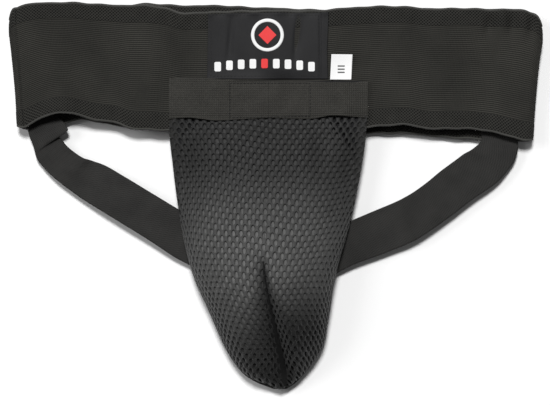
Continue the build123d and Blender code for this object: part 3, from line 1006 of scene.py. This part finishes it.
# Out from under the waistband, a pleat at its inner edge, then slanting down to the pouch's tip.
LEFT_RUNGS = [
    (-152.6, 68.3, 2.9, -179.2, 61.3, 2.9),
    (-152.6, 55.3, 3.6, -175, 48, 3),
    (-149.5, 51.9, 4.8, -173.3, 41, 2.8),
    (-146.4, 46.9, 6.4, -171.3, 36.3, 2.6),
    (-146.6, 44.9, 6.2, -170.1, 32.2, 2.6),
    (-149.5, 43.1, 4.6, -169.5, 30.1, 2.5),
    (-152.6, 43.1, 3.1, -169.3, 28.8, 2.4),
    (-152.9, 41.7, 2.2, -168.9, 27.7, 2.3),
    (-150.9, 39.5, 2, -168, 25.3, 2.2),
    (-147.7, 35.5, 2.4, -164.9, 21.4, 2.4),
    (-140.4, 29.5, 3, -159.3, 15.3, 3),
    (-134.4, 26, 4.6, -153, 9.9, 4.4),
    (-128.8, 24.3, 3.4, -145.6, 4.2, 4),
    (-121.1, 21.6, 4.4, -136.9, -2, 4.2),
    (-107.8, 14.1, 6.2, -123.2, -10.5, 6),
    (-91, 4, 6.6, -106.4, -20.8, 6.6),
    (-74.2, -6.2, 6, -89.6, -31.2, 6),
    (-57.4, -16.5, 4.6, -72.8, -42.4, 4.6),
    across_line(-44, -43, -36, 2.8),
    across_line(-33, -57, -53, 1.8),
    across_line(-24, -75, -61, 1.45),
    across_line(-12, -97, -61, 1.4),
    across_line(-5, -110.5, -61, 1.4),
]

# Out from under the waistband, round a soft bend, then slanting down to the pouch's tip.
RIGHT_RUNGS = [
    (170.8, 62.6, 2.9, 143.5, 61.3, 2.9),
    (170.4, 49.4, 3.1, 143.5, 48.7, 3.1),
    (170.1, 38.4, 3.5, 144.2, 38.5, 3.5),
    (170, 31.2, 3.4, 139.7, 34, 4.4),
    (167.7, 24.2, 3.2, 136.2, 31.5, 4.9),
    (163.1, 17.5, 3.4, 132.3, 29.4, 5.2),
    (157.2, 10.7, 4, 127.8, 26.1, 5.6),
    (149.5, 4.7, 4.8, 121.8, 21.7, 6),
    (141.1, -0.8, 5.4, 116.6, 17.9, 6.2),
    (123.2, -14.3, 6, 104.7, 8.2, 6.4),
    (109.2, -24.3, 6.4, 94.5, 1.1, 6.8),
    (100, -30.3, 6.4, 87.5, -2.8, 7.2),
    (78.6, -39.7, 4.8, 67.6, -11.4, 5.2),
    (51.8, -50, 4.2, 42.7, -22.3, 4.2),
    across_line(32, -44.5, 208, 3.2),
    across_line(20.5, -54, 224, 2.6),
    across_line(14.5, -68, 243, 2.6),
    across_line(10.5, -88, 252, 2.95),
    across_line(4.5, -110, 253, 2.95),
]


def leg_straps():
    for side, rungs, rows in (("left", LEFT_RUNGS, 330), ("right", RIGHT_RUNGS, 300)):
        piece, length = ribbon("leg_strap_elastic_" + side, rungs, rows)
        dress(piece, STRAP, "waistband", "elastic", "leg_strap_" + side)


def bartack(x, y, z):
    """A bar of close zigzag stitches."""
    count = int(BARTACK / 0.42)
    along = np.linspace(-BARTACK / 2, BARTACK / 2, count)
    swing = np.where(np.arange(count) % 2, 0.9, -0.9)
    return tube("bar", spots(x + along, y + swing, z), 0.24, sides=6, squash=0.8)


def bartacks():
    band = [bartack(x, y, 3.05) for x in (-164.5, 160.0) for y in (60.0, 70.0)]
    tip = [bartack(2.8, TIP_Y + d, 3.1 + d * RISE) for d in (20.0, 28.0)]
    for place, bars in (("band", band), ("tip", tip)):
        piece = join(place + "_bartack_stitches", bars)
        dress(piece, THREAD, "waistband", "thread", place + "_bartacks")


def join_tape():
    """The tape over the waistband's own seam, inside its back layer."""
    x, y = np.meshgrid(np.linspace(-7, 7, 30), np.linspace(49.5, 129.0, 120))
    grid = spots(x, y, 2.1 + 0.06 * np.sin(y / 3.3))
    piece = dress(cloth("band_join_ribbon", grid, grid, 0.5), TAPE, "waistband", "tape", "band_join_tape")


# ---- hard cup

CUP_X = -1.2
CUP_LEAN = np.radians(1.6)


def rim_bead():
    """The soft bead that the cup's flange sits in."""
    right = [
        (0, 22.3), (7.5, 22.4), (12.2, 24.4), (17, 29.2), (26.5, 44.2), (35, 66.2), (42, 92), (47.8, 124),
        (49.4, 148), (47.6, 161), (41.5, 171.5), (32, 177.2), (22, 178),
    ]
    outline = right + [(-x, d) for x, d in right[:0:-1]] + right[:1]
    line = path(outline, 300)[:-1]
    ahead = unit(np.roll(line, -1, axis=0) - np.roll(line, 1, axis=0))
    line = line + 2.3 * np.stack([-ahead[:, 1], ahead[:, 0]], axis=1)
    x, d = line.T
    cos, sin = np.cos(CUP_LEAN), np.sin(CUP_LEAN)
    points = from_pocket(CUP_X + x * cos - d * sin, x * sin + d * cos, 2.0)
    return tube("cup_rim_bead", points, 3.6, sides=18, squash=0.42, closed=True)


def cup():
    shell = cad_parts["cup_shell"].data.materials
    shell.clear()
    shell.append(CUP_PLASTIC)
    piece = dress(rim_bead(), RUBBER, "cup", "cushion_rubber", "cup_rim_cushion")


# ---- build

ELASTIC = ribbed_elastic()
DIAMONDS = diamond_weave()
STRAP = twill("strap_elastic", grey(0.007), (0.042, 0.041, 0.0385))
# The rolls along the band's edges are lighter than the elastic, as a painted highlight along their curve.
EDGE_ROLL = yarn("edge_roll", (0.02, 0.02, 0.018), (0.075, 0.074, 0.068))
# Lighter colours of the mesh and liner where drawn tight over the cup, mixed against their darker colours
# by a share that also paints shade and light.
TIGHT_LIT_YARN = (grey(0.022), (0.083, 0.083, 0.081))
MESH = yarn("mesh_yarn", grey(0.002), (0.0105, 0.0105, 0.0103), 2.2, 0.6, 0.2, 0.08, TIGHT_LIT_YARN)
KNIT = {"pitch": (0.9, 0.9), "roughness": 0.7, "specular": 0.3, "shares": (0.5, 0.4)}
LINER = woven("liner_knit", grey(0.004), (0.025, 0.025, 0.0245), tight_and_lit=(0.18, 0.18, 0.177), **KNIT)
PANEL = woven("panel_knit", (0.006, 0.006, 0.0065), (0.02, 0.02, 0.021), (0.9, 0.9))
DART = woven("dart_tape_weave", grey(0.003), grey(0.015), (0.9, 0.9), 0.1, 0.8, 0.12)
TAPE = woven("binding_weave", grey(0.012), (0.04, 0.04, 0.037), (0.8, 0.6))
HEM_COLOURS = ((0.005, 0.0048, 0.0043), (0.054, 0.0522, 0.0466))
HEM = woven("hem_weave", *HEM_COLOURS, (1.5, 1.25), 0.5, shares=(1.0, 0.5))
THREAD = yarn("thread_black", grey(0.008), grey(0.03), 4.0)
NYLON = yarn("hook_nylon_black", grey(0.012), grey(0.03), 1.0, 0.45, 0.5)
LOOPS = yarn("loop_nylon_black", grey(0.015), grey(0.05), 3.5, 0.9, 0.1)
SATIN_COLOURS = ((0.006, 0.006, 0.0065), (0.018, 0.018, 0.0195))
SATIN = woven("label_satin_black", *SATIN_COLOURS, (0.5, 0.35), 0.04, 0.52, 0.155)
WHITE_MARK = woven("embroidery_white", grey(0.72), grey(0.9), (0.5, 0.35), 0.06, 0.5, 0.4)
RED_MARK = woven("embroidery_red", (0.62, 0.02, 0.022), (0.85, 0.045, 0.045), (0.5, 0.35), 0.06, 0.5, 0.4)
TAG_WHITE = woven("tag_satin_white", grey(0.8), grey(0.9), (0.5, 0.35), 0.03, 0.5, 0.4)
TAG_INK = woven("tag_print_grey", grey(0.1), grey(0.16), (0.5, 0.35), 0.0, 0.7, 0.2)
CUP_PLASTIC = yarn("cup_plastic_offwhite", (0.68, 0.68, 0.66), (0.78, 0.78, 0.755), 0.3, 0.38, 0.5)
RUBBER = yarn("rim_rubber_black", grey(0.02), grey(0.035), 0.6, 0.6, 0.4)

waistband()
join_tape()
leg_straps()
bartacks()
cup()
pouch()
mouth()
label()
label_marks()
size_tag()

# ---- floor, light and camera


def stage():
    low = -5.0  # white paper a little below the object, as under a sheet of glass
    corners = [(-3000, -3000, low), (3000, -3000, low), (-3000, 3000, low), (3000, 3000, low)]
    floor = make("floor", corners, [[0, 1, 3, 2]])
    s = Surface("paper_white")
    tone = s.blend(s.noise(None, 3.0), grey(0.86), grey(0.88))
    floor.data.materials.append(s.finish(tone, 0.9, 0.1))


def sun(name, strength, softness, tilt, turn):
    """A distant lamp: tilt degrees from straight above, towards turn degrees from +X."""
    data = bpy.data.lights.new(name, "SUN")
    data.energy = strength
    data.angle = np.radians(softness)
    put(name, data).rotation_euler = (0, np.radians(tilt), np.radians(turn))


def lights():
    world = bpy.data.worlds.new("studio")
    world.use_nodes = True
    background = world.node_tree.nodes["Background"].inputs
    background[0].default_value = (1, 1, 1, 1)
    background[1].default_value = 0.11
    bpy.context.scene.world = world
    sun("key", 3.2, 12, 24, 95)
    sun("side", 0.95, 30, 48, 160)
    bpy.context.scene.view_settings.view_transform = "Standard"


def camera():
    distance = 2000.0
    data = bpy.data.cameras.new("camera")
    data.sensor_width = 36.0
    data.lens = 36.0 * (distance - 12) / 385.0
    data.clip_end = 20
    eye = put("camera", data)
    eye.location = (-0.7 * MM, -4.9 * MM, distance * MM)
    bpy.context.scene.camera = eye


stage()
lights()
camera()
